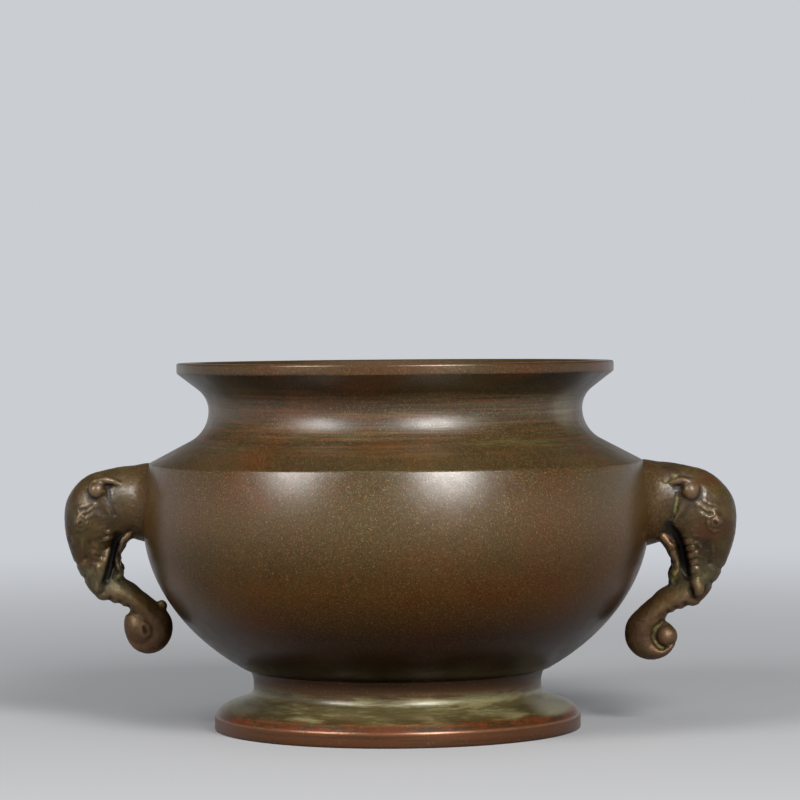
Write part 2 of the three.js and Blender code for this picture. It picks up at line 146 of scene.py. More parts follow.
# %% Wall and ceiling
CEILING_STRENGTH = 0.14
WALL_FADES = (0.08, 0.40)
world = bpy.data.worlds.new("studio")
bpy.context.scene.world = world
world.use_nodes = True
tree = world.node_tree
seen_straight, in_metal = seen_rays(tree)
direction = add_node(tree, "ShaderNodeTexCoord").outputs["Generated"]
upward = add_node(tree, "ShaderNodeSeparateXYZ", {0: direction}).outputs["Z"]
wall_in_metal = times(tree, in_metal, between(tree, upward, *WALL_FADES, 1.0, 0.0))
is_seen = larger(tree, seen_straight, wall_in_metal)
sky = tree.nodes["Background"]
sky.inputs["Color"].default_value = tone(178, 180, 184)
sky.inputs["Strength"].default_value = CEILING_STRENGTH
plain = add_node(tree, "ShaderNodeBackground", {"Color": BACKDROP, "Strength": 1.0})
both = add_node(tree, "ShaderNodeMixShader", {0: is_seen, 1: sky.outputs[0], 2: plain.outputs[0]})
tree.links.new(both.outputs[0], tree.nodes["World Output"].inputs["Surface"])
print("wall and ceiling of", len(tree.nodes), "nodes")

# %% Lamps
LOOKED_AT = Vector((0, 0, 0.06))


def soft_box(name, azimuth, elevation, distance, width, height, watts):
    """A lamp that looks at the bowl. Azimuth 0 is the camera's side, and it grows to the right."""
    lamp_data = bpy.data.lights.new(name, "AREA")
    lamp_data.shape = "RECTANGLE"
    lamp_data.size, lamp_data.size_y, lamp_data.energy = width, height, watts
    lamp = bpy.data.objects.new(name, lamp_data)
    bpy.context.scene.collection.objects.link(lamp)
    a, e = math.radians(azimuth), math.radians(elevation)
    towards = Vector((math.sin(a) * math.cos(e), -math.cos(a) * math.cos(e), math.sin(e)))
    lamp.location = LOOKED_AT + distance * towards
    lamp.rotation_euler = (LOOKED_AT - lamp.location).to_track_quat("-Z", "Y").to_euler()
    print(name, watts, "W at", [round(c, 2) for c in lamp.location], "m")


soft_box("left_soft_box", -48, 29, 1.1, 0.36, 0.54, 10)
soft_box("right_soft_box", 24, 29, 1.1, 0.36, 0.54, 16.5)
soft_box("overhead_panel", 0, 82, 1.2, 1.0, 0.9, 2.5)
bpy.context.scene.view_settings.view_transform = "Standard"

# %% [markdown]
# The bowl was cast and then turned on a lathe. So it is drawn as half an outline and spun round the
# axis, the way the lathe made it. The outline is a chain of points, each pulled out of the one before
# it: up the belly, over the crease, through the narrow neck, round the lip and down inside. A screw
# modifier would give the same shape, but the spin does it in one step.

# %% Belly and neck
SEAT_Z, BELLY_Z, CREASE_Z, THROAT_Z, LIP_Z = 16.3, 58.0, 73.4, 87.8, 100.9
BELLY_RADIUS, LOWER_CURVE, UPPER_CURVE = 69.8, 51.8, 68.0
THROAT_RADIUS, LOWER_BEND, UPPER_BEND = 51.5, 9.5, 7.3
LIP_RADIUS, LIP_WIDTH, LIP_HEIGHT, LIP_EDGE = 60.2, 3.6, 3.1, 0.35


def belly_angle(height, offset=0.0):
    curve = (LOWER_CURVE if height < BELLY_Z else UPPER_CURVE) + offset
    return math.asin((height - BELLY_Z) / curve)


def belly_radius(height, offset=0.0):
    return (BELLY_RADIUS + offset) * math.cos(belly_angle(height, offset))


def belly_points(offset, from_z, to_z, steps):
    start, end = belly_angle(from_z, offset), belly_angle(to_z, offset)
    points = []
    for i in range(steps + 1):
        angle = start + (end - start) * i / steps
        curve = (LOWER_CURVE if angle < 0 else UPPER_CURVE) + offset
        points.append(((BELLY_RADIUS + offset) * math.cos(angle), BELLY_Z + curve * math.sin(angle)))
    return points


def bend_points(point, centre, radius, side, steps):
    """The part of a bend's circle that starts where a line from the point touches it."""
    dx, dz = point[0] - centre[0], point[1] - centre[1]
    touch = math.atan2(dz, dx) + side * math.acos(min(1, radius / math.hypot(dx, dz)))
    angles = [touch + (side * math.pi - touch) * i / steps for i in range(steps + 1)]
    return [(centre[0] + radius * math.cos(a), centre[1] + radius * math.sin(a)) for a in angles]


def neck_points(low, high, offset, steps):
    lower, upper = LOWER_BEND - offset, UPPER_BEND - offset
    narrow = THROAT_RADIUS + offset
    rise = bend_points(low, (narrow + lower, THROAT_Z), lower, -1, steps)
    top = bend_points(high, (narrow + upper, THROAT_Z), upper, 1, steps)
    return rise + top[:-1][::-1]

# %% Rounded corners
def eased(before, corner, after, reach, steps=5):
    """A corner rounded by a small curve, as polishing leaves it. A pair reaches further one way."""
    ends = []
    reaches = reach if isinstance(reach, tuple) else (reach, reach)
    for other, length in zip((before, after), reaches):
        dx, dz = other[0] - corner[0], other[1] - corner[1]
        size = math.hypot(dx, dz)
        share = min(length, size * 0.98) / size
        ends.append((corner[0] + dx * share, corner[1] + dz * share))
    points = []
    for i in range(steps + 1):
        t = i / steps
        pulls = zip(ends[0], corner, ends[1])
        points.append(tuple((1 - t) ** 2 * a + 2 * t * (1 - t) * c + t * t * b for a, c, b in pulls))
    return points


def eased_outline(corners):
    """Corners are (radius, height) or (radius, height, reach of the rounding)."""
    points = []
    for i, corner in enumerate(corners):
        if len(corner) == 3:
            before, after = corners[i - 1][:2], corners[(i + 1) % len(corners)][:2]
            points += eased(before, corner[:2], after, corner[2])
        else:
            points.append(corner[:2])
    return points

# %% The lathe
LATHE_STEPS = 192


def turned(name, outline):
    """Pulls a chain of points from one vertex, spins it round the Z axis and closes the seam."""
    bpy.ops.object.select_all(action="DESELECT")
    bpy.ops.mesh.primitive_plane_add(size=MM, location=(outline[0][0] * MM, 0, outline[0][1] * MM))
    piece = bpy.context.object
    piece.name = piece.data.name = name
    bpy.ops.object.transform_apply(location=True, rotation=True, scale=True)
    bpy.ops.object.mode_set(mode="EDIT")
    bpy.ops.mesh.select_all(action="SELECT")
    bpy.ops.mesh.merge(type="CENTER")
    for (r0, z0), (r1, z1) in zip(outline, outline[1:]):
        step = ((r1 - r0) * MM, 0, (z1 - z0) * MM)
        bpy.ops.mesh.extrude_region_move(TRANSFORM_OT_translate={"value": step})
    bpy.ops.mesh.select_all(action="SELECT")
    bpy.ops.mesh.spin(steps=LATHE_STEPS, angle=2 * math.pi, center=(0, 0, 0), axis=(0, 0, 1))
    bpy.ops.mesh.select_all(action="SELECT")
    bpy.ops.mesh.remove_doubles(threshold=0.00001)
    bpy.ops.mesh.normals_make_consistent(inside=False)
    bpy.ops.object.mode_set(mode="OBJECT")
    bpy.ops.object.shade_smooth_by_angle(angle=math.radians(28))
    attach(piece, "root")
    widest = max(v.co.x for v in piece.data.vertices) / MM
    print(name, len(piece.data.polygons), "faces, radius", round(widest, 2), "mm")
    return piece

# %% Turn the bowl
WALL, FLOOR = 3.2, 3.4
RING_INSIDE, RING_OUTSIDE, RING_DEPTH = 32, 35, 3
seat_radius = belly_radius(SEAT_Z) - 0.6
outside = belly_points(0, SEAT_Z + 0.6, CREASE_Z, 40)
lip_under = (LIP_RADIUS - LIP_EDGE, LIP_Z - LIP_HEIGHT)
neck = neck_points(outside[-1], lip_under, 0, 14)
inside = belly_points(-WALL, SEAT_Z + FLOOR + 3.0, CREASE_Z - WALL, 26)
inside_lip = (LIP_RADIUS - LIP_WIDTH, LIP_Z)
inside_neck = neck_points(inside[-1], inside_lip, -WALL, 10)
corners = [
    (0, SEAT_Z), (RING_INSIDE, SEAT_Z, 0.3), (RING_INSIDE, SEAT_Z - RING_DEPTH, 0.3),
    (RING_OUTSIDE, SEAT_Z - RING_DEPTH, 0.3), (RING_OUTSIDE, SEAT_Z, 0.2), (seat_radius, SEAT_Z, 0.3),
    *outside[:-1], (*outside[-1], 0.45), *neck,
    (*lip_under, 0.3), (LIP_RADIUS, LIP_Z - LIP_HEIGHT + LIP_EDGE, 0.2),
    (LIP_RADIUS, LIP_Z - LIP_EDGE, 0.3), (LIP_RADIUS - LIP_EDGE, LIP_Z, 0.3), (*inside_lip, 0.5),
    *inside_neck[::-1], *inside[::-1],
    (inside[0][0] - 6.0, SEAT_Z + FLOOR, 4.0), (0, SEAT_Z + FLOOR),
]
bowl = turned("turned_bowl", eased_outline(corners))
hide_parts("bowl")

# %% [markdown]
# The foot ring is turned too: a flat band that stands on the table, a soft shoulder above it, a flare
# that slopes up to a short stem, and a small flare where it carries the bowl. It is hollow underneath.
# The same lathe makes it, and its outline is closed, because a ring has no point on the axis.

# %% Turn the foot
FOOT_RADIUS, FOOT_INSIDE, FOOT_BORE, FOOT_WALL = 50.5, 46.5, 35.25, 3.6
STEM_RADIUS, FLARE_DEGREES = 39.7, 26.5
slope = math.tan(math.radians(FLARE_DEGREES))
stem_z = 5.45 + (50.1 - STEM_RADIUS) * slope


def hollow_z(radius):
    """How high the hollow reaches at a radius, a wall's thickness below the slope of the flare."""
    return stem_z + (STEM_RADIUS - radius) * slope - FOOT_WALL / math.cos(math.radians(FLARE_DEGREES))


foot_corners = [
    (FOOT_INSIDE, 0, 0.3), (FOOT_RADIUS, 0, 0.3), (FOOT_RADIUS, 4.0, 0.5), (48.4, 6.5, 2.0),
    (STEM_RADIUS, 9.5, (2.6, 2.0)), (STEM_RADIUS, 14.2, (0.9, 2.0)), (seat_radius - 0.2, SEAT_Z, 0.15),
    (FOOT_BORE, SEAT_Z), (FOOT_BORE, hollow_z(FOOT_BORE), 1.5), (FOOT_INSIDE, hollow_z(FOOT_INSIDE), 1.5),
]
foot_outline = eased_outline(foot_corners)
foot = turned("turned_foot", foot_outline + [foot_outline[0]])
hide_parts("foot_ring")

# %% [markdown]
# Each handle is a cast elephant's head. Its neck grows out of the belly, its trunk hangs down and curls
# up at the tip. A caster would model it in wax: first a tapering body, then the ears, tusks and folds
# laid on it, then lines pressed in. The same order is used here. All places on the head are
# (out, up) in millimetres from where the neck meets the belly, with how far to the side as a third.

# %% Wax tools: a smooth path, a skin through rings, and a laid-on strand
def smooth_path(points, count):
    """A curve through the points, for any number of values per point."""
    points = np.array(points, float)
    ends = np.vstack([2 * points[0] - points[1], points, 2 * points[-1] - points[-2]])
    made = []
    for share in np.linspace(0, len(points) - 1, count):
        i = min(int(share), len(points) - 2)
        t = share - i
        a, b, c, d = ends[i:i + 4]
        straight = 2 * b + (c - a) * t
        bent = (2 * a - 5 * b + 4 * c - d) * t * t
        made.append(0.5 * (straight + bent + (3 * b - a - 3 * c + d) * t ** 3))
    return np.array(made)


def ring(near, far, half, points, egg=0.16, side=0.0):
    """An egg-shaped ring between two edge points. It comes back as (out, side, up)."""
    angles = 2 * math.pi * np.arange(points) / points
    centre, reach = (near + far) / 2, (far - near) / 2
    flat = centre + np.cos(angles)[:, None] * reach
    across = side - half * np.sin(angles) * (1 + egg * np.cos(angles))
    return np.column_stack([flat[:, 0], across, flat[:, 1]])


def skin(name, rings):
    """A closed mesh through rings of equal count."""
    count = len(rings[0])
    faces = [tuple(range(count))[::-1], tuple(range(len(rings) * count - count, len(rings) * count))]
    for r in range(len(rings) - 1):
        for i in range(count):
            j = (i + 1) % count
            faces.append((r * count + i, r * count + j, (r + 1) * count + j, (r + 1) * count + i))
    mesh = bpy.data.meshes.new(name)
    mesh.from_pydata([tuple(p * MM) for p in np.vstack(rings)], [], faces)
    made = bpy.data.objects.new(name, mesh)
    bpy.context.scene.collection.objects.link(made)
    shape = bmesh.new()
    shape.from_mesh(mesh)
    bmesh.ops.recalc_face_normals(shape, faces=shape.faces)
    shape.to_mesh(mesh)
    shape.free()
    return made


def strand(name, places, radius_at, deeper=1.0, steps=24, points=12):
    """A round strand along places (out, up, side)."""
    line = smooth_path(places, steps)
    rings = []
    for i, (out, up, side) in enumerate(line):
        before, after = line[max(i - 1, 0)], line[min(i + 1, steps - 1)]
        run = np.array([after[0] - before[0], after[1] - before[1]])
        radius = radius_at(i / (steps - 1))
        width = np.array([-run[1], run[0]]) / np.hypot(*run) * radius
        here = np.array([out, up])
        rings.append(ring(here - width, here + width, radius * deeper, points, 0, side))
    return skin(name, rings)


def bead(name, centre, radius, flatten=1.0):
    out, up, side = (c * MM for c in centre)
    bpy.ops.object.select_all(action="DESELECT")
    bpy.ops.mesh.primitive_uv_sphere_add(
        segments=24, ring_count=16, radius=radius * MM, location=(out, side, up),
    )
    made = bpy.context.object
    made.name = name
    made.scale = (1, flatten, 1)
    bpy.ops.object.transform_apply(location=True, rotation=True, scale=True)
    return made

# %% The body of the head
# A rib is the edge that faces the bowl, the edge that faces away, both (out, up), and half the width.
RIBS = [
    (-8.0, -12.0, -8.0, 11.4, 20.0), (-3.4, -12.2, -3.4, 12.0, 17.2), (-2.2, -12.1, -2.2, 12.2, 15.6),
    (-1.0, -11.8, -1.0, 12.2, 13.7), (0.4, -11.4, 0.5, 12.0, 12.1), (1.8, -11.0, 2.8, 11.6, 11.1),
    (3.2, -10.7, 8.0, 11.0, 10.2), (5.4, -12.8, 17.0, 8.4, 10.0), (6.5, -15.6, 23.2, 1.6, 9.2),
    (6.4, -18.0, 24.0, -7.2, 7.8), (6.0, -19.8, 21.4, -16.0, 6.2), (5.2, -22.0, 17.6, -22.9, 5.2),
    (3.2, -23.7, 14.2, -27.6, 4.7), (1.2, -25.4, 9.9, -28.9, 4.3), (-1.6, -27.7, 5.4, -30.6, 4.0),
]
CURL_MIDDLE, CURL_RADIUS = np.array([0.5, -35.9]), 7.4
KNOB_MIDDLE = np.array([5.0, -37.3])
CURL_RINGS, BODY_RINGS, RING_POINTS = 10, 160, 44


def on_circle(middle, radius, degrees):
    angle = math.radians(degrees)
    return middle + radius * np.array([math.cos(angle), math.sin(angle)])


curl = []
for share in np.linspace(0, 1, CURL_RINGS):
    far_edge = on_circle(CURL_MIDDLE, CURL_RADIUS, 138 + 198 * share)
    near_edge = on_circle(KNOB_MIDDLE, 4.5 - 2.1 * share, 105 + 157 * share)
    curl.append((*far_edge, *near_edge, 3.8 - 1.1 * share))
body_line = smooth_path(RIBS + curl, BODY_RINGS)
print("body drawn through", len(body_line), "rings")

# %% [markdown]
# The mouth is cut out with two long cutters. The cheek folds, tusks, eyes, ears and jaws are laid on
# as small bodies of their own. Then the whole is melted into one skin by a voxel remesh, which is the
# quickest way to join many overlapping bodies evenly.

# %% Lay on the features
# A fold is three points (out, up), how far each of them is to the side, and a radius.
FOLDS = [
    ((8.4, -8.4), (10.6, -8.0), (12.6, -9.4), (7.4, 7.7, 7.3), 1.0),
    ((8.8, -10.6), (11.0, -9.6), (13.4, -10.9), (7.3, 7.6, 7.1), 1.05),
    ((9.4, -12.4), (11.6, -11.7), (13.4, -12.6), (7.1, 7.3, 6.9), 0.85),
    ((10.0, -14.6), (12.2, -13.4), (14.2, -14.4), (6.6, 6.9, 6.4), 1.0),
    ((10.8, -16.5), (12.5, -15.7), (13.8, -16.4), (6.2, 6.4, 6.0), 0.85),
    ((10.8, -18.8), (12.4, -17.7), (14.0, -18.7), (5.7, 5.9, 5.4), 0.95),
]
CHEEK_FOLDS = [
    ((6.8, -7.5), (9.2, -7.7), (12.0, -7.4), (6.9, 7.8, 8.2), 0.85),
    ((7.6, -9.6), (9.8, -9.9), (12.0, -10.0), (6.8, 7.4, 7.7), 0.8),
    ((9.0, -12.6), (11.0, -18.0), (13.4, -26.0), (5.6, 5.8, 3.9), 1.6),
]
# All other places are (out, up, side).
TUSK = [(12.3, -20.6, 4.6), (12.9, -23.0, 4.9), (13.0, -25.2, 4.6)]
EYE_MIDDLE, EYE_RADIUS = (17.3, -4.8, 8.1), 2.0
EAR_ROLL = [(4.0, 5.4, 8.8), (6.2, 6.3, 9.4), (8.6, 6.7, 9.7), (10.8, 6.0, 9.8), (12.0, 4.6, 9.6)]
EAR_KNOB, EAR_KNOB_RADIUS = (10.7, 3.9, 9.4), 2.8
EAR_LEAF = [(9.6, 3.4, 9.2), (9.1, 1.0, 9.5), (8.2, -1.2, 9.5), (6.9, -3.2, 9.2), (5.8, -4.8, 8.8)]
JAW = [
    (3.0, -8.4, 5.4), (5.5, -11.4, 5.4), (6.9, -14.6, 4.6),
    (7.3, -17.6, 3.9), (6.4, -20.2, 3.2), (6.2, -23.0, 1.6),
]


def blunt(radius, ends=0.25):
    return lambda share: radius * math.sqrt(ends + (1 - ends) * math.sin(math.pi * share))


def rippled(radius):
    return lambda share: radius * (1 - 0.2 * share + 0.12 * math.sin(11 * share))


def placed(points, side, shift=(0.0, 0.0)):
    """Points moved (out, up) by the shift and put on one side of the head."""
    return [(out + shift[0], up + shift[1], side * across) for out, up, across in points]


def features(cast):
    """The small bodies of both cheeks, as one of the two castings has them."""
    made = []
    ear = cast["ear"]
    for side in (1, -1):
        for *line, across, radius in cast["folds"]:
            along = [(*point, width) for point, width in zip(line, across)]
            made.append(strand("fold", placed(along, side), blunt(radius, 0.15), deeper=0.8))
        made.append(strand("tusk", placed(TUSK, side), blunt(cast["tusk"], 0.6)))
        made.append(bead("eyeball", *placed([EYE_MIDDLE], side), EYE_RADIUS))
        made.append(strand("ear_roll", placed(EAR_ROLL, side, ear), lambda share: 0.85 + 0.65 * share))
        made.append(bead("ear_knob", *placed([EAR_KNOB], side, ear), EAR_KNOB_RADIUS))
        leaf = placed(EAR_LEAF, side, ear)
        made.append(strand("ear_leaf", leaf, lambda share: 2.3 - 1.9 * share, deeper=0.55))
        made.append(strand("jaw", placed(JAW, side), rippled(cast["jaw"]), steps=60))
    return made

# %% [markdown]
# Pressed-in and raised lines come last. A stroke is a chain of points seen from the side, a width and
# a height: every spot of the skin near it moves along its own normal, most in the middle.

# %% Strokes: points, width, height
SLOT = [(5.0, -5.4), (8.1, -10.3), (9.2, -15.2), (10.3, -20.0)]
LEFT_SLOT = [(6.6, -9.0), (7.4, -12.0), (8.6, -17.0), (10.2, -22.6)]
SLOT_SIDES = (9.4, 8.4, 7.2, 5.8)
CRESCENT = [(3.2, -32.6), (1.3, -34.4), (0.9, -36.6), (1.9, -38.9), (3.2, -40.0)]
PUPIL = [(17.4, -4.9), (17.7, -5.1)]
MOUTH_STROKES = [
    ([(10.6, -8.6), (12.2, -14.0), (12.8, -19.0)], 2.8, 0.5),
    ([(15.0, -11.0), (15.6, -15.6), (15.2, -19.0)], 1.3, -0.4),
    ([(15.6, -22.6), (15.2, -24.6), (13.4, -26.6), (11.4, -25.8), (10.8, -23.6)], 0.6, -0.4),
]
BROW_STROKES = [
    ([(12.4, 0.3), (13.9, -0.5), (15.1, -1.5), (17.1, -1.8), (18.8, -2.8)], 0.85, 0.24),
    ([(14.4, 0.9), (16.6, 0.1), (19.0, -0.7)], 0.9, 0.2),
    ([(13.2, -0.7), (14.8, -2.2), (16.4, -2.5)], 0.5, -0.22),
    ([(13.8, 0.3), (15.6, -0.7), (17.6, -1.0)], 0.5, -0.2),
    ([(13.8, -2.6), (15.2, -3.2)], 0.7, 0.2), ([(19.6, 0.2), (20.6, -2.8)], 1.4, -0.2),
]
EYE_STROKES = [
    ([(15.4, -4.6), (16.0, -3.4), (17.4, -2.8), (18.8, -3.6), (19.2, -4.8)], 0.6, 0.29),
    (PUPIL, 0.6, -0.3), ([(15.5, -5.2), (16.0, -6.5), (17.2, -7.3), (18.5, -7.0)], 0.65, 0.34),
]
TRUNK_STROKES = [
    ([(21.4, -18.7), (18.2, -17.2), (16.4, -16.2)], 0.8, -0.4),
    ([(19.2, -23.4), (16.8, -21.6)], 0.9, -0.45), ([(16.6, -26.0), (14.6, -27.4)], 0.8, -0.35),
    ([(11.4, -29.6), (9.4, -27.6)], 0.8, -0.4), ([(8.6, -30.8), (7.0, -28.8)], 0.8, -0.4),
    ([(6.2, -31.8), (4.8, -29.8)], 0.7, -0.3), ([(4.0, -21.0), (8.0, -22.6), (11.0, -23.8)], 1.6, -0.25),
    ([(2.4, -24.6), (8.4, -26.6)], 1.4, 0.2),
]
SKULL_STROKES = [([(20.4, -11.0), (18.6, -15.0)], 1.8, -0.3), ([(11.6, 8.4), (16.0, 6.4)], 1.6, -0.25)]
STROKES = MOUTH_STROKES + BROW_STROKES + EYE_STROKES + TRUNK_STROKES + SKULL_STROKES
EAR_STROKES = [
    ([(4.0, 6.7), (5.8, 7.7), (8.0, 8.2), (10.6, 7.8)], 0.6, -0.3), ([(6.8, 4.8), (8.2, 4.5)], 0.7, -0.3),
    ([(7.2, 3.2), (6.6, -0.6), (5.6, -3.8)], 0.6, -0.4),
    ([(13.8, 4.2), (12.8, 1.4), (11.2, -1.0), (8.6, -3.6)], 1.1, -0.3),
]
HAMMERED = [
    ([(11.0, -9.0), (12.4, -14.0), (12.8, -19.0)], 4.0, 0.34), ([(13.0, 1.0), (17.0, -3.0)], 4.0, 0.20),
    ([(5.4, -11.0), (7.2, -17.0), (6.0, -22.0)], 2.5, 0.42),
]
CHASED = [
    ([(11.0, -8.0), (12.4, -14.0), (12.8, -19.0)], 3.0, 0.16), ([(13.0, 1.0), (17.0, -3.0)], 3.5, 0.12),
    ([(5.4, -11.0), (7.2, -17.0), (6.0, -22.0)], 2.0, 0.20),
]

# %% Read the skin and put it back
def places_of(mesh):
    values = np.empty(len(mesh.vertices) * 3)
    mesh.vertices.foreach_get("co", values)
    return values.reshape(-1, 3) / MM


def normals_of(mesh):
    values = np.empty(len(mesh.vertices) * 3)
    mesh.vertex_normals.foreach_get("vector", values)
    return values.reshape(-1, 3)


def put_back(mesh, places):
    mesh.vertices.foreach_set("co", (places * MM).ravel())
    mesh.update()

# %% Press and hammer along strokes
def smoothstep(values, low, high):
    t = np.clip((values - low) / (high - low), 0, 1)
    return t * t * (3 - 2 * t)


def away_from(places, path):
    """How far each place is from the path, seen from the side."""
    points, path = places[:, [0, 2]], np.array(path, float)
    best = np.full(len(points), np.inf)
    for a, b in zip(path, path[1:]):
        run = b - a
        along = np.clip(((points - a) @ run) / max(run @ run, 1e-9), 0, 1)
        best = np.minimum(best, np.linalg.norm(points - a - along[:, None] * run, axis=1))
    return best


def press(mesh, strokes):
    places, normals = places_of(mesh), normals_of(mesh)
    moved = np.zeros(len(places))
    for path, width, height in strokes:
        near = np.clip(1 - away_from(places, path) / (1.6 * width), 0, 1)
        moved += height * near * near * (3 - 2 * near)
    put_back(mesh, places + normals * moved[:, None])


def hammer(mesh, strokes, size=1.5):
    """Uneven dents and bumps from the caster's tools, strongest along the strokes."""
    places, normals = places_of(mesh), normals_of(mesh)
    uneven = np.array([noise.noise(Vector(p) / size) for p in places.tolist()])
    depth = np.full(len(places), 0.05)
    for path, width, height in strokes:
        depth = np.maximum(depth, height * (1 - smoothstep(away_from(places, path), 0, width)))
    put_back(mesh, places + normals * (uneven * depth)[:, None])

# %% [markdown]
# A patina follows the form: verdigris and dark wax stay in the hollows, and high spots are rubbed
# bright. The darker hollows are partly painted shade, and the brighter high spots partly a painted
# highlight. Both are kept as attributes of the skin, so they stay with it wherever the head goes.

# %% Mark strokes and relief for the patina, its painted shade and painted highlights
def paint_near(mesh, name, strokes, blur):
    """Writes 1 along the strokes and 0 away from them, for verdigris and painted shade, which lie in them.
    """
    places = places_of(mesh)
    value = np.zeros(len(places))
    for path, width in strokes:
        far = smoothstep(away_from(places, path), width * 0.5, width * 0.5 + blur)
        value = np.maximum(value, 1 - far)
    mesh.attributes.new(name, "FLOAT", "POINT").data.foreach_set("value", value)


def relief(mesh):
    """How far each spot stands out (above 0) or lies in a hollow (below 0), for the patina, its painted
    shade and painted highlights.
    """
    places, normals = places_of(mesh), normals_of(mesh)
    edges = np.empty(len(mesh.edges) * 2, int)
    mesh.edges.foreach_get("vertices", edges)
    a, b = edges.reshape(-1, 2).T
    count = np.bincount(np.concatenate([a, b]), minlength=len(places))[:, None]

    def spread(values):
        total = np.zeros_like(values)
        np.add.at(total, a, values[b])
        np.add.at(total, b, values[a])
        return total / count

    smooth = places.copy()
    for _ in range(9):
        smooth = spread(smooth)
    height = ((places - smooth) * normals).sum(1, keepdims=True)
    for _ in range(2):
        height = spread(height)
    made = mesh.attributes.new("relief", "FLOAT", "POINT")
    made.data.foreach_set("value", np.clip(height[:, 0] / 0.12, -1, 1))
    print("relief runs from", round(float(height.min()), 3), "to", round(float(height.max()), 3), "mm")

# %% [markdown]
# One casting is laid up, melted into one skin, chased and fitted to the bowl. Voxels of 0.3 mm are
# fine enough for the eyelids, and some smoothing takes the steps of the voxels away. Sculpting by hand
# would do the same, but strokes that are written down can be measured in the photograph and changed.

# %% Lay up one casting
VOXEL = 0.30


def finish_with(piece, kind, **settings):
    modifier = piece.modifiers.new(kind.lower(), kind)
    for key, value in settings.items():
        setattr(modifier, key, value)
    bpy.ops.object.select_all(action="DESELECT")
    bpy.context.view_layer.objects.active = piece
    piece.select_set(True)
    bpy.ops.object.modifier_apply(modifier=modifier.name)


def lay_up(name, cast):
    """The body with its mouth cut and every feature laid on, melted into one skin."""
    body = skin(name, [ring(row[:2], row[2:4], row[4], RING_POINTS) for row in body_line])
    for side in (1, -1):
        line = [(out, up, side * across) for (out, up), across in zip(cast["slot"], SLOT_SIDES)]
        cutter = strand("slot", line, blunt(1.7, 0.1), deeper=2.6)
        finish_with(body, "BOOLEAN", operation="DIFFERENCE", object=cutter, solver="EXACT")
        bpy.data.objects.remove(cutter)
    parts = [body, bead("curl_web", *cast["web"]), bead("trunk_knob", *cast["knob"])]
    parts += features(cast)
    parts += [bead("burr", *burr) for burr in cast["burrs"]]
    bpy.ops.object.select_all(action="DESELECT")
    for part in parts:
        part.select_set(True)
    bpy.context.view_layer.objects.active = body
    bpy.ops.object.join()
    finish_with(body, "REMESH", mode="VOXEL", voxel_size=VOXEL * MM)
    finish_with(body, "SMOOTH", factor=0.5, iterations=9)
    return body

# %% Chase its lines
def chase(body, cast):
    """Presses the lines and dents in, and marks where green crust and shade lie."""
    ear_out, ear_up = cast["ear"]

    def on_ear(strokes):
        return [([(out + ear_out, up + ear_up) for out, up in path], *rest) for path, *rest in strokes]

    press(body.data, STROKES + on_ear(EAR_STROKES) + cast["extra"])
    hammer(body.data, HAMMERED)
    hammer(body.data, CHASED, 0.7)
    finish_with(body, "SMOOTH", factor=0.5, iterations=3)
    paint_near(body.data, "green", cast["green"] + on_ear(cast["ear_green"]), 0.6)
    paint_near(body.data, "shade", [(cast["slot"], 1.6), (PUPIL, 0.0)], 1.0)

# %% Fit it to the bowl
HANDLE_Z = 61.2
WALL_X = belly_radius(HANDLE_Z)
HEAD_REACH, CROWN_UP, CURL_ROOT_UP = 24.0, 10.8, -22
SUNK_INTO_WALL = 0.8
outer_wall = np.array(sorted(outside + neck, key=lambda p: p[1]))


def fit_to_wall(mesh, cast, turn):
    """Bends the skin as this casting came out, moves it to the bowl and closes its root on the wall."""
    places = places_of(mesh)
    out, up = places[:, 0].copy(), places[:, 2].copy()
    flatter = cast["flattening"] * np.maximum(0, out / HEAD_REACH) ** 3
    places[:, 0] -= flatter + cast["sway"] * (1 - smoothstep(up, CURL_MIDDLE[1], CURL_ROOT_UP))
    drawn_in = cast["squeeze"] * (1 - smoothstep(up, -38, -28))
    places[:, 0] = (places[:, 0] + 8) * (1 - drawn_in) - 8
    places[:, 2] += cast["lift"] * (1 - smoothstep(up, CURL_ROOT_UP, CROWN_UP)) + HANDLE_Z
    places[:, 0] += WALL_X
    radius = np.hypot(places[:, 0], places[:, 1])
    least = np.interp(places[:, 2], outer_wall[:, 1], outer_wall[:, 0]) - SUNK_INTO_WALL
    grow = np.where(radius < least, least / radius, 1)
    places[:, 0] *= grow
    places[:, 1] *= grow
    if turn:
        places[:, :2] *= -1
    put_back(mesh, places)
    return places

# %% Cast one handle
def cast_handle(name, node, cast, turn):
    body = lay_up(name, cast)
    chase(body, cast)
    places = fit_to_wall(body.data, cast, turn)
    relief(body.data)
    bpy.ops.object.shade_smooth()
    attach(body, "root")
    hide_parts(node)
    print(name, len(body.data.polygons), "faces, from", places.min(0).round(1), "to", places.max(0).round(1))
    return body

# %% [markdown]
# The two heads came from one model, but not alike. The left one's trunk hangs higher, its forehead is
# flatter, its curl swings in, its cheek has three plain folds, and a small burr is left on its trunk.

